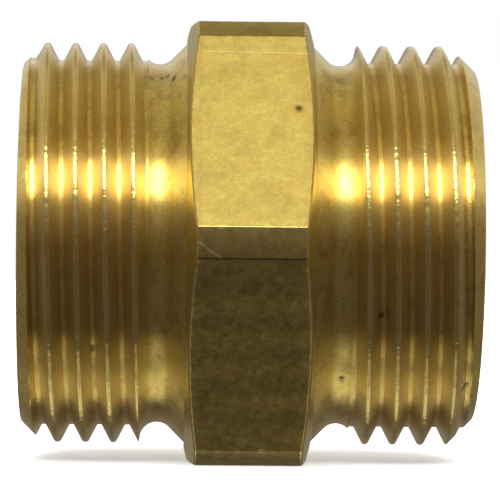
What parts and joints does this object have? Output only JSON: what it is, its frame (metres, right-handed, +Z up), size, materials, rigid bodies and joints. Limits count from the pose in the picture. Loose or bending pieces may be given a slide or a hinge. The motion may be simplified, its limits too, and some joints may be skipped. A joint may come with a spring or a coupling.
{
  "type": "hex nipple",
  "caption": "Short brass pipe nipple: a hexagon collar between two male parallel pipe threads, with relief grooves and a straight through bore.",
  "frame": {"origin": "on the pipe axis at the middle of the hexagon, which is the centre of the bounding box", "axes": "+X along the pipe axis, +Z up out of one hexagon flat, so that the opposite flat rests on the ground, and Y across two corners"},
  "size_m": [0.0374, 0.0402, 0.036],
  "materials": {
    "drawn_brass": "drawn bar skin, semi-matt, with fine lines along the bar",
    "turned_brass": "machined, satin, with fine tool lines round the axis"
  },
  "bodies": {
    "root": {"hex_collar": "drawn_brass", "left_male_end": "turned_brass", "right_male_end": "turned_brass"}
  },
  "joints": []
}
